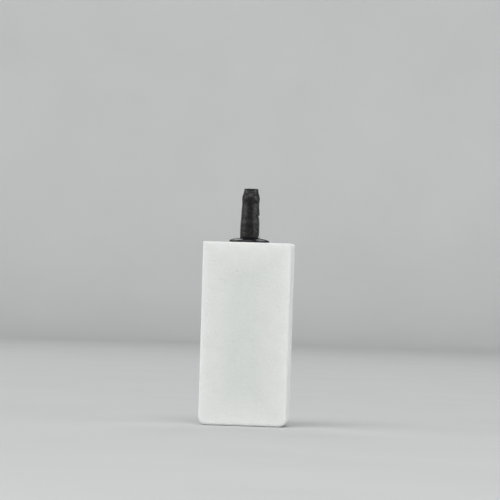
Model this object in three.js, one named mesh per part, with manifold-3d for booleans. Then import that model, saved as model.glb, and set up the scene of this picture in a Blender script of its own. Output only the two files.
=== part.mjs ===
// An aquarium air stone: a porous stone block whose blind air bore is fed through a bonded hose
// nipple, with a domed collar sealing the mouth of the bore.
// Units are millimetres. The origin is the centre of the stone's base, +Z runs up the nipple,
// +X is across the stone's width and -Y is its front.
import * as THREE from "three";
import { mergeVertices, toCreasedNormals } from "three/addons/utils/BufferGeometryUtils.js";
import Module from "manifold-3d";

// Stone block: pressed in a mould with a rounded floor, which widens a little towards its open
// top, then struck off flat there.
const stoneHeight = 51.6;
const stoneBaseWidth = 24.8;
const stoneTopWidth = 25;
const stoneThickness = 15;
const baseCornerRadius = 2.2;
const edgeRadius = 0.8;
const strikeOffAllowance = 3;

// Air bore: one blind hole from the top, with a drill-point bottom. Its cutter starts above the top.
const boreRadius = 3.2;
const boreDepth = 34;
const borePointDepth = 1.6;
const boreOverrun = 1;

// Clearance left between neighbouring pieces, where the real ones touch.
const clearance = 0.1;

// Sealing collar: a domed washer on the stone's top.
const collarRadius = 5.75;
const collarHeight = 1.4;
const collarDomePower = 2.4;
const collarSeatRadius = 2.75;
const collarRimHeight = 0.25;
const collarUnderCut = 0.15;

// Hose nipple for soft airline hose of 4 mm bore and 6 mm outside diameter.
const nippleReach = 15.2;
const airwayRadius = 1.1;
const stemRadius = 2;
const stemLength = 14;
const stemChamfer = 0.4;
const footRadius = 2.48;
const footHeight = 0.3;
const footChamfer = 0.7;
const barrelRadius = 2.68;
const barrelHeight = 4.4;
const stepHeight = 0.6;
const neckRadius = 2.6;
const waistRadius = 2.41;
const waistHeight = 9.4;
const crestRadius = 2.49;
const crestHeight = 11;
const noseRise = 0.9;
const noseEase = 1.2;
const tipRadius = 1.96;
const tipRounding = 0.18;

// Bond sleeve: the adhesive between the stem and the bore's wall.
const bondLength = 12;
const bondBelowMouth = 0.4;

// How finely round shapes are divided.
const turnSegments = 48;
const collarTurnSegments = 72;
const curveDivisions = 8;

const wasm = await Module();
wasm.setup();

// A closed geometry as a manifold-3d solid.
function solidFrom(geometry) {
  const bare = geometry.clone();
  bare.deleteAttribute("normal");
  bare.deleteAttribute("uv");
  const merged = mergeVertices(bare, 1e-3);
  return new wasm.Manifold(
    new wasm.Mesh({
      numProp: 3,
      vertProperties: new Float32Array(merged.attributes.position.array),
      triVerts: new Uint32Array(merged.index.array),
    }),
  );
}

// A manifold-3d solid as a geometry, with crisp edges where faces meet at over 30 degrees.
function geometryFrom(solid) {
  const mesh = solid.getMesh();
  const geometry = new THREE.BufferGeometry();
  geometry.setAttribute("position", new THREE.BufferAttribute(mesh.vertProperties, 3));
  geometry.setIndex(new THREE.BufferAttribute(mesh.triVerts, 1));
  return toCreasedNormals(geometry, THREE.MathUtils.degToRad(30));
}

// A profile of (radius, height) points, turned about the part's Z axis.
function turned(profile, segments) {
  const geometry = new THREE.LatheGeometry(profile.getPoints(curveDivisions), segments);
  return geometry.rotateX(Math.PI / 2);
}

function namedMesh(name, geometry, color, roughness) {
  const material = new THREE.MeshStandardMaterial({ color, roughness, metalness: 0 });
  const mesh = new THREE.Mesh(geometry, material);
  mesh.name = name;
  return mesh;
}

// The stone's front outline in (x, z). Its sides lean evenly from the base to the top.
function stoneOutline() {
  const lean = Math.atan2((stoneBaseWidth - stoneTopWidth) / 2, stoneHeight);
  const cornerX = stoneBaseWidth / 2 - (baseCornerRadius * (1 + Math.sin(lean))) / Math.cos(lean);
  const uncutHeight = stoneHeight + strikeOffAllowance;
  const uncutHalfWidth = stoneBaseWidth / 2 - uncutHeight * Math.tan(lean);
  const outline = new THREE.Shape();
  outline.absarc(cornerX, baseCornerRadius, baseCornerRadius, -Math.PI / 2, lean);
  outline.lineTo(uncutHalfWidth, uncutHeight);
  outline.lineTo(-uncutHalfWidth, uncutHeight);
  outline.absarc(-cornerX, baseCornerRadius, baseCornerRadius, Math.PI - lean, 1.5 * Math.PI);
  outline.closePath();
  return outline;
}

// The pressed blank, with its front and back edges rounded, standing on the base.
function stoneBlank() {
  const blank = new THREE.ExtrudeGeometry(stoneOutline(), {
    depth: stoneThickness - 2 * edgeRadius,
    bevelThickness: edgeRadius,
    bevelSize: edgeRadius,
    bevelOffset: -edgeRadius,
    bevelSegments: 4,
    curveSegments: curveDivisions,
  });
  blank.translate(0, 0, edgeRadius - stoneThickness / 2);
  return blank.rotateX(Math.PI / 2);
}

// What is struck off above the stone's top.
function strikeOff() {
  const margin = 2;
  const height = 2 * strikeOffAllowance;
  const cut = new THREE.BoxGeometry(stoneBaseWidth + margin, stoneThickness + margin, height);
  return cut.translate(0, 0, stoneHeight + height / 2);
}

function airBore() {
  const floor = stoneHeight - boreDepth;
  const aboveMouth = stoneHeight + boreOverrun;
  const profile = new THREE.Path();
  profile.moveTo(0, floor - borePointDepth);
  profile.lineTo(boreRadius, floor);
  profile.lineTo(boreRadius, aboveMouth);
  profile.lineTo(0, aboveMouth);
  return turned(profile, turnSegments);
}

function stoneBlock() {
  const solid = solidFrom(stoneBlank())
    .subtract(solidFrom(strikeOff()))
    .subtract(solidFrom(airBore()));
  return namedMesh("stone_block", geometryFrom(solid), 0xd8dcd7, 0.95);
}

// The height of the collar's dome above its underside at a radius: a superellipse.
function collarDomeHeight(radius) {
  const fall = Math.pow(radius / collarRadius, collarDomePower);
  return collarHeight * Math.pow(1 - fall, 1 / collarDomePower);
}

function sealingCollar() {
  const underside = stoneHeight + clearance;
  const steps = 14;
  const rimFall = 1 - Math.pow(collarRimHeight / collarHeight, collarDomePower);
  const rimRadius = collarRadius * Math.pow(rimFall, 1 / collarDomePower);
  const profile = new THREE.Path();
  profile.moveTo(stemRadius + clearance, underside);
  profile.lineTo(rimRadius - collarUnderCut, underside);
  for (let step = 0; step <= steps; step++) {
    const outward = Math.cos((0.5 * Math.PI * step) / steps);
    const radius = THREE.MathUtils.lerp(collarSeatRadius, rimRadius, outward);
    profile.lineTo(radius, underside + collarDomeHeight(radius));
  }
  profile.lineTo(stemRadius + clearance, underside + collarDomeHeight(collarSeatRadius));
  profile.closePath();
  return namedMesh("sealing_collar", turned(profile, collarTurnSegments), 0x131416, 0.28);
}

// A stretch of profile that runs straight up at both of its ends.
function easeTo(profile, fromRadius, fromHeight, toRadius, toHeight) {
  const third = (toHeight - fromHeight) / 3;
  profile.bezierCurveTo(fromRadius, fromHeight + third, toRadius, toHeight - third, toRadius, toHeight);
}

// The nipple's section: a plain stem below the foot and a hose spigot above it, round one airway.
function nippleProfile() {
  const stemEnd = stoneHeight - stemLength;
  const foot = stoneHeight + 2 * clearance + collarDomeHeight(collarSeatRadius);
  const footTop = foot + footHeight;
  const barrelTop = foot + barrelHeight;
  const neck = barrelTop + stepHeight;
  const waist = foot + waistHeight;
  const crest = foot + crestHeight;
  const tip = stoneHeight + nippleReach;
  const noseTop = tip - tipRounding;
  const profile = new THREE.Path();
  profile.moveTo(airwayRadius, stemEnd);
  profile.lineTo(stemRadius - stemChamfer, stemEnd);
  profile.lineTo(stemRadius, stemEnd + stemChamfer);
  profile.lineTo(stemRadius, foot);
  profile.lineTo(footRadius, foot);
  profile.lineTo(footRadius, footTop);
  profile.lineTo(barrelRadius, footTop + footChamfer);
  profile.lineTo(barrelRadius, barrelTop);
  profile.lineTo(neckRadius, neck);
  easeTo(profile, neckRadius, neck, waistRadius, waist);
  easeTo(profile, waistRadius, waist, crestRadius, crest);
  profile.bezierCurveTo(crestRadius, crest + noseRise, tipRadius, noseTop - noseEase, tipRadius, noseTop);
  profile.absarc(tipRadius - tipRounding, noseTop, tipRounding, 0, Math.PI / 2);
  profile.lineTo(airwayRadius, tip);
  profile.closePath();
  return profile;
}

function hoseNipple() {
  return namedMesh("hose_nipple", turned(nippleProfile(), turnSegments), 0x232527, 0.7);
}

function bondSleeve() {
  const top = stoneHeight - bondBelowMouth;
  const profile = new THREE.Path();
  profile.moveTo(stemRadius + clearance, top - bondLength);
  profile.lineTo(boreRadius - clearance, top - bondLength);
  profile.lineTo(boreRadius - clearance, top);
  profile.lineTo(stemRadius + clearance, top);
  profile.closePath();
  return namedMesh("bond_sleeve", turned(profile, turnSegments), 0xd9d4c2, 0.4);
}

const airStone = new THREE.Group();
airStone.name = "air_stone";
airStone.add(stoneBlock(), sealingCollar(), hoseNipple(), bondSleeve());

export default airStone;
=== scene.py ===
"""The looks of an aquarium air stone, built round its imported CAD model.

Lengths are in metres, written as a number of millimetres times MM.
"""
import math
import random

import bmesh
import bpy
import numpy as np
from mathutils import Matrix, Vector, noise
from mathutils.kdtree import KDTree


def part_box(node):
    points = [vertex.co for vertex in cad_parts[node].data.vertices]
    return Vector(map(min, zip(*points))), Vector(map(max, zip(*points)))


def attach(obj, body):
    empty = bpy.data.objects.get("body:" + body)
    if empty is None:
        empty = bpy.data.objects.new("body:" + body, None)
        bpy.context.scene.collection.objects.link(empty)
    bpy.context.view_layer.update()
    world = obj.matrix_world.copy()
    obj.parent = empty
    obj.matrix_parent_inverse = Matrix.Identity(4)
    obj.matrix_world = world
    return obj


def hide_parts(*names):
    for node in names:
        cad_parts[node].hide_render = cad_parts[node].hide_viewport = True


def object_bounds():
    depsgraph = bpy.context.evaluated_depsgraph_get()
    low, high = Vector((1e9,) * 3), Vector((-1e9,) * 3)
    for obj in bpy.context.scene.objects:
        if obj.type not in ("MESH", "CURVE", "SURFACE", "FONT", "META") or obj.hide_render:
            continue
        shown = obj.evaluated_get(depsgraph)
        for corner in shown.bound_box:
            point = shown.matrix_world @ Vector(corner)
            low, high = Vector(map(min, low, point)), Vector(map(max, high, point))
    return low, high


MM = 0.001

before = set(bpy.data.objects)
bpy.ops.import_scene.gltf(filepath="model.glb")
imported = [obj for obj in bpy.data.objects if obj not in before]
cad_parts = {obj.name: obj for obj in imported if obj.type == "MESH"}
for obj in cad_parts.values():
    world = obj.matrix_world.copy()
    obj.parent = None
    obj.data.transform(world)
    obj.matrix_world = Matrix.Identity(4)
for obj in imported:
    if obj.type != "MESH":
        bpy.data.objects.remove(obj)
CAD_LOW, CAD_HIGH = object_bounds()
STONE_LOW, STONE_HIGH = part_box("stone_block")
COLLAR_LOW, COLLAR_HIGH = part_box("sealing_collar")
NIPPLE_LOW, NIPPLE_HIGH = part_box("hose_nipple")
BOND_LOW, BOND_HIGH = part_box("bond_sleeve")

# Camera: a long lens almost level with the part's middle, a little to its right and turned slightly,
# so that the part leans clockwise.
CAMERA_DISTANCE = 900 * MM
CAMERA_AZIMUTH = 4.8
CAMERA_ELEVATION = 0.3
CAMERA_ROLL = 1.75
CAMERA_LENS = 229.4
# How far up and right of the part's centre the middle of the picture lies, along its own edges.
AIM_UP = 16.1 * MM
AIM_RIGHT = 0.75 * MM

# Clearance that the CAD keeps between neighbouring pieces.
CLEARANCE = 0.1 * MM

# Stage: a round floor that curves up into a low wall, low enough for the side softboxes to shine
# over it from outside.
STAGE_RADIUS = 1600 * MM
STAGE_BEND = 230 * MM
STAGE_WALL = 50 * MM
STAGE_SEGMENTS = 96
STAGE_BEND_STEPS = 24
PAPER_MOTTLE_SIZE = 60 * MM

# Light that comes from all round.
WORLD_STRENGTH = 0.19

# Stone: the voxel size of its mesh, and the size and depth of each kind of roughness.
STONE_VOXEL = 0.25 * MM
WAVE_SIZE = 5 * MM
WAVE_DEPTH = 0.04 * MM
LUMP_SIZE = 0.9 * MM
LUMP_DEPTH = 0.03 * MM
GRAIN_SIZE = 0.42 * MM
GRAIN_DEPTH = 0.05 * MM
CRUMBLE_SIZE = 1.2 * MM
CRUMBLE_DEPTH = 0.24 * MM
# How far a vertex normal shortens, when averaged with its neighbours', off and on a sharp edge.
CRUMBLE_TURN = (0.02, 0.25)
NORMAL_ROUNDS = 4
PIT_COUNT = 1300
PIT_SEED = 11
PIT_RADIUS = (0.25 * MM, 0.5 * MM)
PIT_DEPTH = (0.03 * MM, 0.12 * MM)
SEAT_MARGIN = (0.3 * MM, 1.2 * MM)
# Its colour: the size of its grains and pores, and how far in from an edge each band of painted
# highlight reaches.
GRAIN_CELL = 0.28 * MM
DUST_SIZE = 0.12 * MM
PORE_CELL = 0.75 * MM
CLOUD_SIZE = 5 * MM
PAINTED_EDGE_LIGHT_REACH = (1 * MM, 10 * MM)
PAINTED_EDGE_HIGHLIGHT_REACH = 3 * MM

# Collar: a superellipse dome like its CAD solid's, with slow waves in its surface.
COLLAR_POWER = 2.4
COLLAR_FILL = 0.9
COLLAR_LIP = 0.12 * MM
COLLAR_WAVE_SIZE = 2.2 * MM
COLLAR_WAVE = 0.05 * MM
COLLAR_SEGMENTS = 144
COLLAR_STEPS = 40
COLLAR_ROW = 0.2 * MM
# The dome is drawn a little high and cut off flat at its top.
COLLAR_OVERRISE = 1.02
# The waves grow from the lip to their full depth at this height above the underside. Away from the
# stem they start at the first of these distances and are full at the second.
COLLAR_WAVE_HEIGHT = 0.7 * MM
COLLAR_WAVE_GAP = (0.6 * MM, 1.2 * MM)

# Nipple: its stem and airway, and the marks that moulding and handling left on it.
STEM_RADIUS = 2.0 * MM
STEM_CHAMFER = 0.4 * MM
AIRWAY_RADIUS = 1.1 * MM
NOSE_ROUNDING = 0.18 * MM
MOUTH_CHAMFER = 0.15 * MM
NIPPLE_ROW = 0.15 * MM
NIPPLE_SEGMENTS = 128
NIPPLE_SOFTENING_ROUNDS = 3
PARTING_RIDGE = 0.03 * MM
PARTING_WIDTH = 0.16 * MM
NICK_HEIGHT = 6.1 * MM
NICK_DEPTH = 0.4 * MM
NICK_HALF_LENGTH = 0.24 * MM
NICK_HALF_WIDTH = 0.8 * MM
BURR_RISE = 0.5 * MM
BURR_REACH = 0.14 * MM
BURR_HALF_LENGTH = 0.2 * MM
BURR_HALF_WIDTH = 0.4 * MM
WEAR = 0.035 * MM
WEAR_SIZE = 1.1 * MM
NIPPLE_LEAN = 0.12 * MM
# Its outside: millimetres above the foot, and the radius as a share of the barrel's.
NIPPLE_SHAPE = (
    (0.0, 0.985),
    (0.4, 0.99),
    (0.9, 1.0),
    (4.3, 1.0),
    (5.0, 0.966),
    (7.8, 0.94),
    (8.6, 0.908),
    (9.6, 0.892),
    (10.6, 0.922),
    (11.3, 0.932),
    (11.8, 0.9),
    (12.4, 0.822),
    (13.0, 0.762),
    (13.6, 0.733),
)

# Bond: the ring of adhesive in the bore, and what it left at the nipple's foot.
BOND_SEGMENTS = 72
BOND_ROW = 0.3 * MM
BOND_UNEVEN = 0.4 * MM
BOND_UNEVEN_SIZE = 2.5 * MM
BOND_UNEVEN_REACH = 3 * MM
SQUEEZE_ANGLE = -8
SQUEEZE_SPAN = 30
SQUEEZE_RADIUS = 0.36 * MM
SQUEEZE_END_RADIUS = 0.01 * MM
SQUEEZE_RISE = 0.2 * MM
SQUEEZE_GAP = 0.1 * MM
SQUEEZE_LUMP = 0.5
SQUEEZE_LUMP_SIZE = 0.4 * MM
SQUEEZE_RINGS = 28
SQUEEZE_SIDES = 18


# ---------------------------------------------------------------- mesh helpers


def add_object(name, data):
    piece = bpy.data.objects.new(name, data)
    bpy.context.scene.collection.objects.link(piece)
    return piece


def shade_smooth(mesh):
    mesh.polygons.foreach_set("use_smooth", [True] * len(mesh.polygons))
    mesh.update()


def read_vectors(collection, field):
    values = np.empty(len(collection) * 3, dtype=np.float32)
    collection.foreach_get(field, values)
    return values.reshape(-1, 3).astype(float)


def write_places(mesh, places):
    mesh.vertices.foreach_set("co", places.astype(np.float32).ravel())
    mesh.update()


def noise_at(places, size, offset=0.0):
    """Smooth noise from about -1 to 1 at each place, with features of the given size."""
    shift = Vector((offset, offset, offset))
    return np.array([noise.noise(Vector(place) / size + shift) for place in places])


def smoothstep(low, high, values):
    share = np.clip((values - low) / (high - low), 0.0, 1.0)
    return share * share * (3 - 2 * share)


def turned_mesh(name, profile, segments):
    """A closed profile of (radius, height) points turned about the Z axis."""
    bm = bmesh.new()
    rings = []
    for step in range(segments):
        angle = 2 * math.pi * step / segments
        cos, sin = math.cos(angle), math.sin(angle)
        rings.append([bm.verts.new((r * cos, r * sin, z)) for r, z in profile])
    for here, after in zip(rings, rings[1:] + rings[:1]):
        for i in range(len(profile)):
            bm.faces.new((here[i - 1], after[i - 1], after[i], here[i]))
    bmesh.ops.recalc_face_normals(bm, faces=bm.faces)
    mesh = bpy.data.meshes.new(name)
    bm.to_mesh(mesh)
    bm.free()
    shade_smooth(mesh)
    return mesh


def divided(points, step):
    """The closed outline through the points, with no side longer than the step."""
    fine = []
    for start, end in zip(points, points[1:] + points[:1]):
        count = max(1, math.ceil(math.dist(start, end) / step))
        for share in np.arange(count) / count:
            fine.append((start[0] + (end[0] - start[0]) * share, start[1] + (end[1] - start[1]) * share))
    return fine


def arc(centre, radius, start_degrees, end_degrees, steps):
    """Points of an arc in (radius, height), both ends included."""
    points = []
    for i in range(steps + 1):
        angle = math.radians(start_degrees + (end_degrees - start_degrees) * i / steps)
        points.append((centre[0] + radius * math.cos(angle), centre[1] + radius * math.sin(angle)))
    return points


# ------------------------------------------------------------ material helpers


class Shader:
    """A material's node tree, with short calls to add and join its nodes."""

    def __init__(self, name):
        self.material = bpy.data.materials.new(name)
        self.material.use_nodes = True
        self.nodes = self.material.node_tree.nodes
        self.links = self.material.node_tree.links
        self.surface = self.nodes["Principled BSDF"]
        self.place = self.nodes.new("ShaderNodeTexCoord").outputs["Object"]

    def constant(self, **values):
        for name, value in values.items():
            self.surface.inputs[name.replace("_", " ")].default_value = value

    def drive(self, name, source):
        self.links.new(source, self.surface.inputs[name])

    def fill(self, socket, value):
        if isinstance(value, bpy.types.NodeSocket):
            self.links.new(value, socket)
        else:
            socket.default_value = value

    def noise(self, size, detail=2.0, roughness=0.5):
        node = self.nodes.new("ShaderNodeTexNoise")
        node.inputs["Scale"].default_value = 1 / size
        node.inputs["Detail"].default_value = detail
        node.inputs["Roughness"].default_value = roughness
        self.fill(node.inputs["Vector"], self.place)
        return node.outputs["Fac"]

    def cells(self, size, output="Distance"):
        node = self.nodes.new("ShaderNodeTexVoronoi")
        node.inputs["Scale"].default_value = 1 / size
        self.fill(node.inputs["Vector"], self.place)
        return node.outputs[output]

    def attribute(self, name):
        node = self.nodes.new("ShaderNodeAttribute")
        node.attribute_name = name
        return node.outputs["Fac"]

    def ramp(self, source, low, high, start, end):
        """source from low to high becomes start to end, held at both ends."""
        node = self.nodes.new("ShaderNodeMapRange")
        for name, value in (("From Min", low), ("From Max", high), ("To Min", start), ("To Max", end)):
            node.inputs[name].default_value = value
        self.fill(node.inputs["Value"], source)
        return node.outputs["Result"]

    def math(self, operation, first, second):
        node = self.nodes.new("ShaderNodeMath")
        node.operation = operation
        self.fill(node.inputs[0], first)
        self.fill(node.inputs[1], second)
        return node.outputs["Value"]

    def mix(self, share, first, second, blend="MIX"):
        node = self.nodes.new("ShaderNodeMix")
        node.data_type = "RGBA"
        node.blend_type = blend
        factor, colour_a, colour_b = node.inputs[0], node.inputs[6], node.inputs[7]
        self.fill(factor, share)
        self.fill(colour_a, first)
        self.fill(colour_b, second)
        return node.outputs[2]

    def bump(self, height, distance, strength=1.0, under=None):
        node = self.nodes.new("ShaderNodeBump")
        node.inputs["Distance"].default_value = distance
        node.inputs["Strength"].default_value = strength
        self.fill(node.inputs["Height"], height)
        if under is not None:
            self.fill(node.inputs["Normal"], under)
        return node.outputs["Normal"]


def dress(piece, material):
    piece.data.materials.clear()
    piece.data.materials.append(material)


# -------------------------------------------------------------------- camera


def look_at(thing, place, target, roll_degrees=0.0):
    """Puts a camera or lamp at a place, turned to face the target. Returns its turn as a matrix."""
    turn = (target - place).to_track_quat("-Z", "Y").to_matrix()
    turn = turn @ Matrix.Rotation(math.radians(roll_degrees), 3, "Z")
    thing.location = place
    thing.rotation_euler = turn.to_euler()
    return turn


def around(centre, azimuth_degrees, elevation_degrees, distance):
    """The point at a distance from centre. Azimuth 0 is in front, and 90 is on the right."""
    azimuth = math.radians(azimuth_degrees)
    elevation = math.radians(elevation_degrees)
    level = math.cos(elevation)
    way = Vector((math.sin(azimuth) * level, -math.cos(azimuth) * level, math.sin(elevation)))
    return centre + way * distance


def make_camera():
    data = bpy.data.cameras.new("camera")
    data.lens = CAMERA_LENS
    camera = add_object("camera", data)
    centre = (CAD_LOW + CAD_HIGH) / 2
    place = around(centre, CAMERA_AZIMUTH, CAMERA_ELEVATION, CAMERA_DISTANCE)
    turn = look_at(camera, place, centre, CAMERA_ROLL)
    aim = centre + turn @ Vector((AIM_RIGHT, AIM_UP, 0))
    look_at(camera, place, aim, CAMERA_ROLL)
    bpy.context.scene.camera = camera


# --------------------------------------------------------------- stage, light


def stage_outline():
    flat = STAGE_RADIUS - STAGE_BEND
    bend = arc((flat, STAGE_BEND), STAGE_BEND, -90, 0, STAGE_BEND_STEPS)
    return [(0.0, 0.0)] + bend + [(STAGE_RADIUS, STAGE_BEND + STAGE_WALL)]


def stage_mesh():
    outline = stage_outline()
    bm = bmesh.new()
    centre = bm.verts.new((0, 0, 0))
    rings = []
    for step in range(STAGE_SEGMENTS):
        angle = 2 * math.pi * step / STAGE_SEGMENTS
        cos, sin = math.cos(angle), math.sin(angle)
        rings.append([bm.verts.new((r * cos, r * sin, z)) for r, z in outline[1:]])
    for here, after in zip(rings, rings[1:] + rings[:1]):
        bm.faces.new((centre, here[0], after[0]))
        for i in range(1, len(here)):
            bm.faces.new((here[i - 1], here[i], after[i], after[i - 1]))
    mesh = bpy.data.meshes.new("stage")
    bm.to_mesh(mesh)
    bm.free()
    shade_smooth(mesh)
    return mesh


def paper_material():
    shader = Shader("stage_paper")
    mottle = shader.ramp(shader.noise(PAPER_MOTTLE_SIZE, 3.0), 0.3, 0.7, 0.0, 1.0)
    shader.drive("Base Color", shader.mix(mottle, (0.57, 0.58, 0.58, 1), (0.59, 0.6, 0.6, 1)))
    shader.constant(Roughness=0.95, Specular_IOR_Level=0.1)
    return shader.material


def make_stage():
    stage = add_object("stage", stage_mesh())
    dress(stage, paper_material())


def softbox(name, azimuth, elevation, distance, size, watts):
    """A soft rectangular light that faces the part. Its distance and size are in metres."""
    data = bpy.data.lights.new(name, "AREA")
    data.shape = "RECTANGLE"
    data.size, data.size_y = size
    data.energy = watts
    lamp = add_object(name, data)
    lamp.visible_camera = False
    centre = (CAD_LOW + CAD_HIGH) / 2
    look_at(lamp, around(centre, azimuth, elevation, distance), centre)


def make_lights():
    """Two side lights low down, two small ones behind the shoulders, and a large key light in front."""
    softbox("left_softbox", -73, 15, 2.5, (2.9, 0.8), 27)
    softbox("right_softbox", 72, 15, 2.5, (2.7, 0.8), 30)
    softbox("left_back_light", -158, 38, 1.4, (0.4, 0.3), 2.0)
    softbox("right_back_light", 165, 44, 1.4, (0.45, 0.25), 1.9)
    softbox("key_softbox", -8, 50, 2.1, (2.2, 1.4), 34)
    world = bpy.data.worlds.new("studio")
    world.use_nodes = True
    background = world.node_tree.nodes["Background"]
    background.inputs["Color"].default_value = (1, 1, 1, 1)
    background.inputs["Strength"].default_value = WORLD_STRENGTH
    bpy.context.scene.world = world
    bpy.context.scene.view_settings.view_transform = "Standard"


# --------------------------------------------------------------------- stone


def remeshed(source, voxel):
    """An even mesh of small quads over the surface of a closed mesh."""
    bm = bmesh.new()
    bm.from_mesh(source)
    bmesh.ops.remove_doubles(bm, verts=bm.verts, dist=0.001 * MM)
    joined = bpy.data.meshes.new("joined")
    bm.to_mesh(joined)
    bm.free()
    holder = add_object("holder", joined)
    remesh = holder.modifiers.new("remesh", "REMESH")
    remesh.mode = "VOXEL"
    remesh.voxel_size = voxel
    evaluated = holder.evaluated_get(bpy.context.evaluated_depsgraph_get())
    mesh = bpy.data.meshes.new_from_object(evaluated)
    bpy.data.objects.remove(holder)
    return mesh


def averaged(values, edges, rounds):
    """Each vertex's value averaged with its neighbours', several times over."""
    count = len(values)
    ends = np.concatenate([edges[:, 0], edges[:, 1]])
    others = np.concatenate([edges[:, 1], edges[:, 0]])
    neighbours = np.bincount(ends, minlength=count) + 1.0
    for _ in range(rounds):
        sums = [np.bincount(ends, values[others, axis], count) for axis in range(3)]
        values = (values + np.stack(sums, axis=1)) / neighbours[:, None]
    return values


def pit_depths(places, seed):
    """How deep the pits scattered over the surface are at each place."""
    draw = random.Random(seed)
    tree = KDTree(len(places))
    for index, place in enumerate(places):
        tree.insert(place, index)
    tree.balance()
    depths = np.zeros(len(places))
    for _ in range(PIT_COUNT):
        centre = places[draw.randrange(len(places))]
        radius = draw.uniform(*PIT_RADIUS)
        depth = draw.uniform(*PIT_DEPTH) * radius / PIT_RADIUS[1]
        for _, index, distance in tree.find_range(centre, radius):
            share = 1 - (distance / radius) ** 2
            depths[index] = max(depths[index], depth * share)
    return depths


def clear_of_collar(places):
    """0 in the bore and under the collar, rising to 1 on the rest of the stone."""
    radii = np.hypot(places[:, 0], places[:, 1])
    inner, outer = SEAT_MARGIN
    clear = smoothstep(COLLAR_HIGH.x + inner, COLLAR_HIGH.x + outer, radii)
    on_top = places[:, 2] > STONE_HIGH.z - 2 * STONE_VOXEL
    in_bore = radii < BOND_HIGH.x + 2 * STONE_VOXEL
    return np.where(on_top | in_bore, clear, 1.0)


def edge_gaps(places):
    """How far each place on the block's skin is from the block's nearest edge."""
    to_side = STONE_HIGH.x - np.abs(places[:, 0])
    to_face = STONE_HIGH.y - np.abs(places[:, 1])
    to_end = np.minimum(places[:, 2] - STONE_LOW.z, STONE_HIGH.z - places[:, 2])
    return np.sort(np.stack([to_side, to_face, to_end]), axis=0)[1]


def add_values(mesh, name, values):
    attribute = mesh.attributes.new(name, "FLOAT", "POINT")
    attribute.data.foreach_set("value", values.astype(np.float32))


def roughen_stone(mesh):
    places = read_vectors(mesh.vertices, "co")
    normals = read_vectors(mesh.vertex_normals, "vector")
    edges = np.empty(len(mesh.edges) * 2, dtype=np.int32)
    mesh.edges.foreach_get("vertices", edges)
    broad = averaged(normals, edges.reshape(-1, 2), NORMAL_ROUNDS)
    lengths = np.linalg.norm(broad, axis=1)
    on_edge = smoothstep(*CRUMBLE_TURN, 1 - lengths)
    waves = WAVE_DEPTH * (0.5 + 0.5 * noise_at(places, WAVE_SIZE))
    lumps = LUMP_DEPTH * (0.5 + 0.5 * noise_at(places, LUMP_SIZE, offset=7.3))
    grain = GRAIN_DEPTH * (0.5 + 0.5 * noise_at(places, GRAIN_SIZE, offset=1.9))
    crumbled = (0.35 + 0.9 * noise_at(places, CRUMBLE_SIZE, offset=3.1)).clip(0, 1)
    crumble = CRUMBLE_DEPTH * on_edge * crumbled
    clear = clear_of_collar(places)
    pits = pit_depths(places, PIT_SEED) * clear
    depth = (waves + lumps + grain + crumble) * clear + pits
    inward = -broad / np.maximum(lengths, 1e-6)[:, None]
    # The distance to the nearest edge, which places the stone's painted edge highlight.
    add_values(mesh, "edge_gap", edge_gaps(places))
    write_places(mesh, places + inward * depth[:, None])


def stone_material():
    """White bonded grit: fine rounded grains, each a slightly different white, with pores darkened by
    painted shade.

    The block is painted a little lighter towards its edges, as a painted highlight.
    """
    shader = Shader("porous_stone")
    grain = shader.cells(GRAIN_CELL)
    tone = shader.cells(GRAIN_CELL, "Color")
    dust = shader.noise(DUST_SIZE, 3.0, 0.6)
    pores = shader.cells(PORE_CELL)
    # Painted highlight: the colour lightens from 10 mm to 1 mm from an edge, and by 4% more within 3 mm
    # of it.
    clear_of_edge_light = shader.ramp(shader.attribute("edge_gap"), *PAINTED_EDGE_LIGHT_REACH, 0.0, 1.0)
    colour = shader.mix(clear_of_edge_light, (0.76, 0.768, 0.758, 1), (0.694, 0.715, 0.694, 1))
    painted_edge_highlight = shader.ramp(shader.attribute("edge_gap"), 0.0, PAINTED_EDGE_HIGHLIGHT_REACH, 1.04, 1.0)
    clouds = shader.ramp(shader.noise(CLOUD_SIZE, 3.0), 0.3, 0.7, 0.985, 1.015)
    speckle = shader.ramp(tone, 0.0, 1.0, 0.965, 1.035)
    # Painted shade: the pores are up to 8% darker; the same mask also dents them through the bump.
    pore_shade = shader.ramp(pores, 0.05, 0.17, 0.92, 1.0)
    shade = shader.math("MULTIPLY", painted_edge_highlight, clouds)
    shade = shader.math("MULTIPLY", shade, speckle)
    shade = shader.math("MULTIPLY", shade, pore_shade)
    shader.drive("Base Color", shader.mix(1.0, colour, shade, "MULTIPLY"))
    shader.drive("Roughness", shader.ramp(dust, 0.3, 0.7, 0.88, 1.0))
    relief = shader.bump(shader.math("SUBTRACT", 1.0, grain), 0.06 * MM, 0.7)
    relief = shader.bump(dust, 0.03 * MM, 0.5, relief)
    relief = shader.bump(pore_shade, 0.08 * MM, 0.7, relief)
    shader.drive("Normal", relief)
    shader.constant(
        Specular_IOR_Level=0.25,
        Diffuse_Roughness=0.8,
        Subsurface_Weight=0.35,
        Subsurface_Radius=(1.0, 0.95, 0.9),
        Subsurface_Scale=1.2 * MM,
    )
    return shader.material


def make_stone():
    mesh = remeshed(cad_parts["stone_block"].data, STONE_VOXEL)
    roughen_stone(mesh)
    shade_smooth(mesh)
    piece = add_object("porous_stone", mesh)
    dress(piece, stone_material())
    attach(piece, "root")
    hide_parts("stone_block")


# -------------------------------------------------------------------- collar


def foot_height():
    """The height of the collar's crest, on which the nipple's foot rests."""
    return COLLAR_LOW.z + COLLAR_FILL * (COLLAR_HIGH.z - COLLAR_LOW.z)


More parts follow.
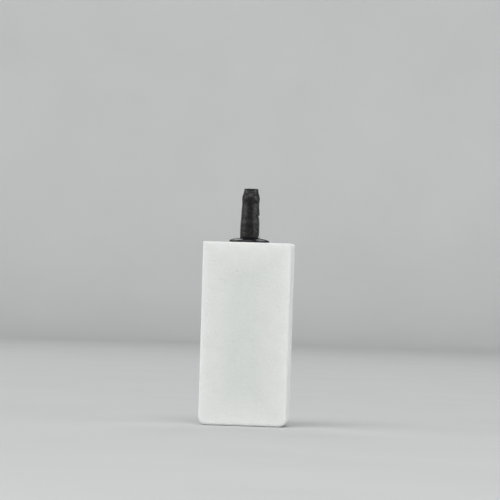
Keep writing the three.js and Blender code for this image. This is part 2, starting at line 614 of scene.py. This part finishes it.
def collar_profile():
    """The collar's section: a flat underside, a thin rounded lip and a superellipse dome."""
    bottom, top = COLLAR_LOW.z, foot_height()
    seat_radius = STEM_RADIUS + CLEARANCE
    rim = COLLAR_HIGH.x
    height = (top - bottom) * COLLAR_OVERRISE
    lip_centre = (rim - COLLAR_LIP, bottom + COLLAR_LIP)
    outline = [(seat_radius, bottom)]
    outline += arc(lip_centre, COLLAR_LIP, -90, 40, 6)
    start = outline[-1]
    for i in range(1, COLLAR_STEPS + 1):
        share = math.cos(0.5 * math.pi * i / COLLAR_STEPS)
        radius = seat_radius + (start[0] - seat_radius) * share
        rise = (1 - (radius / start[0]) ** COLLAR_POWER) ** (1 / COLLAR_POWER)
        outline.append((radius, min(top, start[1] + (height - (start[1] - bottom)) * rise)))
    return divided(outline, COLLAR_ROW)


def make_collar():
    mesh = turned_mesh("domed_collar", collar_profile(), COLLAR_SEGMENTS)
    places = read_vectors(mesh.vertices, "co")
    radii = np.hypot(places[:, 0], places[:, 1])
    bottom = COLLAR_LOW.z
    above_lip = smoothstep(bottom + COLLAR_LIP, bottom + COLLAR_WAVE_HEIGHT, places[:, 2])
    start, full = COLLAR_WAVE_GAP
    off_seat = smoothstep(STEM_RADIUS + start, STEM_RADIUS + full, radii)
    wave = COLLAR_WAVE * (noise_at(places, COLLAR_WAVE_SIZE, offset=5.2) - 0.5)
    places[:, 2] += wave * above_lip * off_seat
    write_places(mesh, places)
    piece = add_object("domed_collar", mesh)
    dress(piece, collar_material())
    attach(piece, "root")
    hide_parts("sealing_collar")


def collar_material():
    shader = Shader("collar_rubber")
    smear = shader.noise(1.2 * MM, 3.0, 0.6)
    shader.drive("Base Color", shader.mix(smear, (0.004, 0.004, 0.007, 1), (0.008, 0.008, 0.012, 1)))
    shader.drive("Roughness", shader.ramp(smear, 0.3, 0.7, 0.12, 0.24))
    shader.drive("Normal", shader.bump(shader.noise(0.5 * MM, 2.0), 0.01 * MM, 0.5))
    shader.constant(Specular_IOR_Level=0.4)
    return shader.material


# -------------------------------------------------------------------- nipple


def nipple_outside(foot):
    """The nipple's outside from its foot to the start of its rounded tip, with softened corners."""
    heights, shares = np.array(NIPPLE_SHAPE).T
    top = NIPPLE_HIGH.z - NOSE_ROUNDING
    z = np.linspace(foot, top, math.ceil((top - foot) / NIPPLE_ROW))
    radii = np.interp(z, foot + heights * MM, shares * NIPPLE_HIGH.x)
    for _ in range(NIPPLE_SOFTENING_ROUNDS):
        radii[1:-1] = (radii[:-2] + 2 * radii[1:-1] + radii[2:]) / 4
    return list(zip(radii, z))


def nipple_profile(foot):
    """The nipple's section: its stem, its outside above the foot, its tip, and its airway."""
    tip, stem_end = NIPPLE_HIGH.z, NIPPLE_LOW.z
    outside = nipple_outside(foot)
    nose_centre = (outside[-1][0] - NOSE_ROUNDING, tip - NOSE_ROUNDING)
    stem = [
        (AIRWAY_RADIUS, stem_end),
        (STEM_RADIUS - STEM_CHAMFER, stem_end),
        (STEM_RADIUS, stem_end + STEM_CHAMFER),
        (STEM_RADIUS, foot),
    ]
    mouth = [(AIRWAY_RADIUS + MOUTH_CHAMFER, tip), (AIRWAY_RADIUS, tip - MOUTH_CHAMFER)]
    return divided(stem + outside + arc(nose_centre, NOSE_ROUNDING, 0, 90, 5) + mouth, 2 * NIPPLE_ROW)


def bump_at(distances, half_width):
    """1 at no distance, falling smoothly to nearly 0 at twice the half width."""
    return np.exp(-((distances / half_width) ** 2))


def moulding_marks(places, foot):
    """How far the parting line, the nick and burr in it, and the wear move each place outward."""
    x, y, z = places.T
    outside = (np.hypot(x, y) > (STEM_RADIUS + AIRWAY_RADIUS) / 2) & (z > foot)
    above_nick = z - foot - NICK_HEIGHT
    ridge = PARTING_RIDGE * bump_at(y, PARTING_WIDTH)
    nick = NICK_DEPTH * bump_at(above_nick, NICK_HALF_LENGTH) * bump_at(y, NICK_HALF_WIDTH)
    above_burr = above_nick - BURR_RISE
    burr = BURR_REACH * bump_at(above_burr, BURR_HALF_LENGTH) * bump_at(y, BURR_HALF_WIDTH)
    wear = WEAR * noise_at(places, WEAR_SIZE, offset=2.7)
    return (ridge + (burr - nick) * (x > 0) + wear) * outside


def make_nipple():
    foot = foot_height()
    mesh = turned_mesh("hose_spigot", nipple_profile(foot), NIPPLE_SEGMENTS)
    places = read_vectors(mesh.vertices, "co")
    radii = np.hypot(places[:, 0], places[:, 1])
    places[:, :2] *= (1 + moulding_marks(places, foot) / radii)[:, None]
    rise = (places[:, 2] - foot) / (NIPPLE_HIGH.z - foot)
    places[:, 0] += NIPPLE_LEAN * rise.clip(0, 1)
    write_places(mesh, places)
    piece = add_object("hose_spigot", mesh)
    dress(piece, nipple_material())
    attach(piece, "root")
    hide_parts("hose_nipple")


def nipple_material():
    """Matt black plastic with a mottled skin and a few specks of pale dust."""
    shader = Shader("nipple_plastic")
    mottle = shader.noise(1.0 * MM, 4.0, 0.65)
    pimples = shader.cells(0.5 * MM)
    fine = shader.noise(0.2 * MM, 3.0, 0.6)
    patch = shader.ramp(mottle, 0.48, 0.66, 0.0, 1.0)
    colour = shader.mix(patch, (0.0006, 0.0006, 0.0006, 1), (0.009, 0.0095, 0.009, 1))
    specks = shader.ramp(shader.cells(0.8 * MM), 0.06, 0.1, 0.3, 0.0)
    shader.drive("Base Color", shader.mix(specks, colour, (0.25, 0.26, 0.25, 1)))
    shader.drive("Roughness", shader.ramp(mottle, 0.38, 0.62, 0.24, 0.36))
    relief = shader.bump(mottle, 0.1 * MM, 1.0)
    relief = shader.bump(pimples, 0.05 * MM, 0.8, relief)
    shader.drive("Normal", shader.bump(fine, 0.03 * MM, 0.8, relief))
    shader.constant(Specular_IOR_Level=0.36)
    return shader.material


# ---------------------------------------------------------------------- bond


def bond_material(name, colour, bubble_colour):
    """Cured adhesive with small bubbles in it."""
    shader = Shader(name)
    bubbles = shader.ramp(shader.cells(0.5 * MM), 0.1, 0.2, 1.0, 0.0)
    shader.drive("Base Color", shader.mix(bubbles, colour, bubble_colour))
    shader.drive("Roughness", shader.ramp(shader.noise(0.6 * MM), 0.3, 0.7, 0.3, 0.5))
    shader.drive("Normal", shader.bump(bubbles, 0.03 * MM, 0.5))
    shader.constant(Subsurface_Weight=0.3, Subsurface_Scale=0.5 * MM)
    return shader.material


def bond_profile():
    """The ring's section: a hollow meniscus at its top and a rounded lower end."""
    bottom, top = BOND_LOW.z, BOND_HIGH.z
    inner, outer = STEM_RADIUS + CLEARANCE, BOND_HIGH.x
    middle = (inner + outer) / 2
    half = (outer - inner) / 2
    lower_end = arc((middle, bottom + half), half, 180, 360, 10)
    meniscus = arc((middle, top), half, 0, -180, 10)
    return divided(lower_end + meniscus, BOND_ROW)


def make_bond():
    mesh = turned_mesh("cured_bond", bond_profile(), BOND_SEGMENTS)
    places = read_vectors(mesh.vertices, "co")
    bottom, top = BOND_LOW.z, BOND_HIGH.z
    from_end = np.minimum(places[:, 2] - bottom, top - places[:, 2])
    near_end = 1 - smoothstep(0, BOND_UNEVEN_REACH, from_end)
    uneven = BOND_UNEVEN * (noise_at(places, BOND_UNEVEN_SIZE, offset=9.4) + 0.5) * near_end
    places[:, 2] += np.where(places[:, 2] < (bottom + top) / 2, uneven, -uneven)
    places[:, 2] = places[:, 2].clip(bottom, top)
    write_places(mesh, places)
    piece = add_object("cured_bond", mesh)
    dress(piece, bond_material("bond_adhesive", (0.66, 0.63, 0.52, 1), (0.75, 0.73, 0.65, 1)))
    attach(piece, "root")
    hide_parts("bond_sleeve")


def squeeze_out_mesh():
    """A short bead that hugs the nipple's foot and tapers to both ends."""
    foot = foot_height()
    reach = NIPPLE_HIGH.x * NIPPLE_SHAPE[0][1] + SQUEEZE_GAP
    bm = bmesh.new()
    loops = []
    for ring in range(SQUEEZE_RINGS + 1):
        share = 2 * ring / SQUEEZE_RINGS - 1
        angle = math.radians(SQUEEZE_ANGLE + SQUEEZE_SPAN / 2 * share)
        size = SQUEEZE_RADIUS * math.sqrt(max(0.0, 1 - share * share)) + SQUEEZE_END_RADIUS
        outward = Vector((math.cos(angle), math.sin(angle), 0))
        centre = outward * reach + Vector((0, 0, foot + SQUEEZE_RISE))
        loop = []
        for side in range(SQUEEZE_SIDES):
            turn = 2 * math.pi * side / SQUEEZE_SIDES
            point = centre + (outward * math.cos(turn) + Vector((0, 0, math.sin(turn)))) * size
            swell = SQUEEZE_LUMP * noise.noise(point / SQUEEZE_LUMP_SIZE)
            loop.append(bm.verts.new(point + (point - centre) * swell))
        loops.append(loop)
    for here, after in zip(loops, loops[1:]):
        for side in range(SQUEEZE_SIDES):
            bm.faces.new((here[side - 1], here[side], after[side], after[side - 1]))
    bm.faces.new(loops[0])
    bm.faces.new(reversed(loops[-1]))
    bmesh.ops.recalc_face_normals(bm, faces=bm.faces)
    mesh = bpy.data.meshes.new("bond_squeeze_out")
    bm.to_mesh(mesh)
    bm.free()
    shade_smooth(mesh)
    return mesh


def make_squeeze_out():
    piece = add_object("bond_squeeze_out", squeeze_out_mesh())
    dress(piece, bond_material("smeared_adhesive", (0.42, 0.44, 0.43, 1), (0.6, 0.62, 0.6, 1)))
    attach(piece, "root")


make_camera()
make_stage()
make_lights()
make_stone()
make_collar()
make_nipple()
make_bond()
make_squeeze_out()
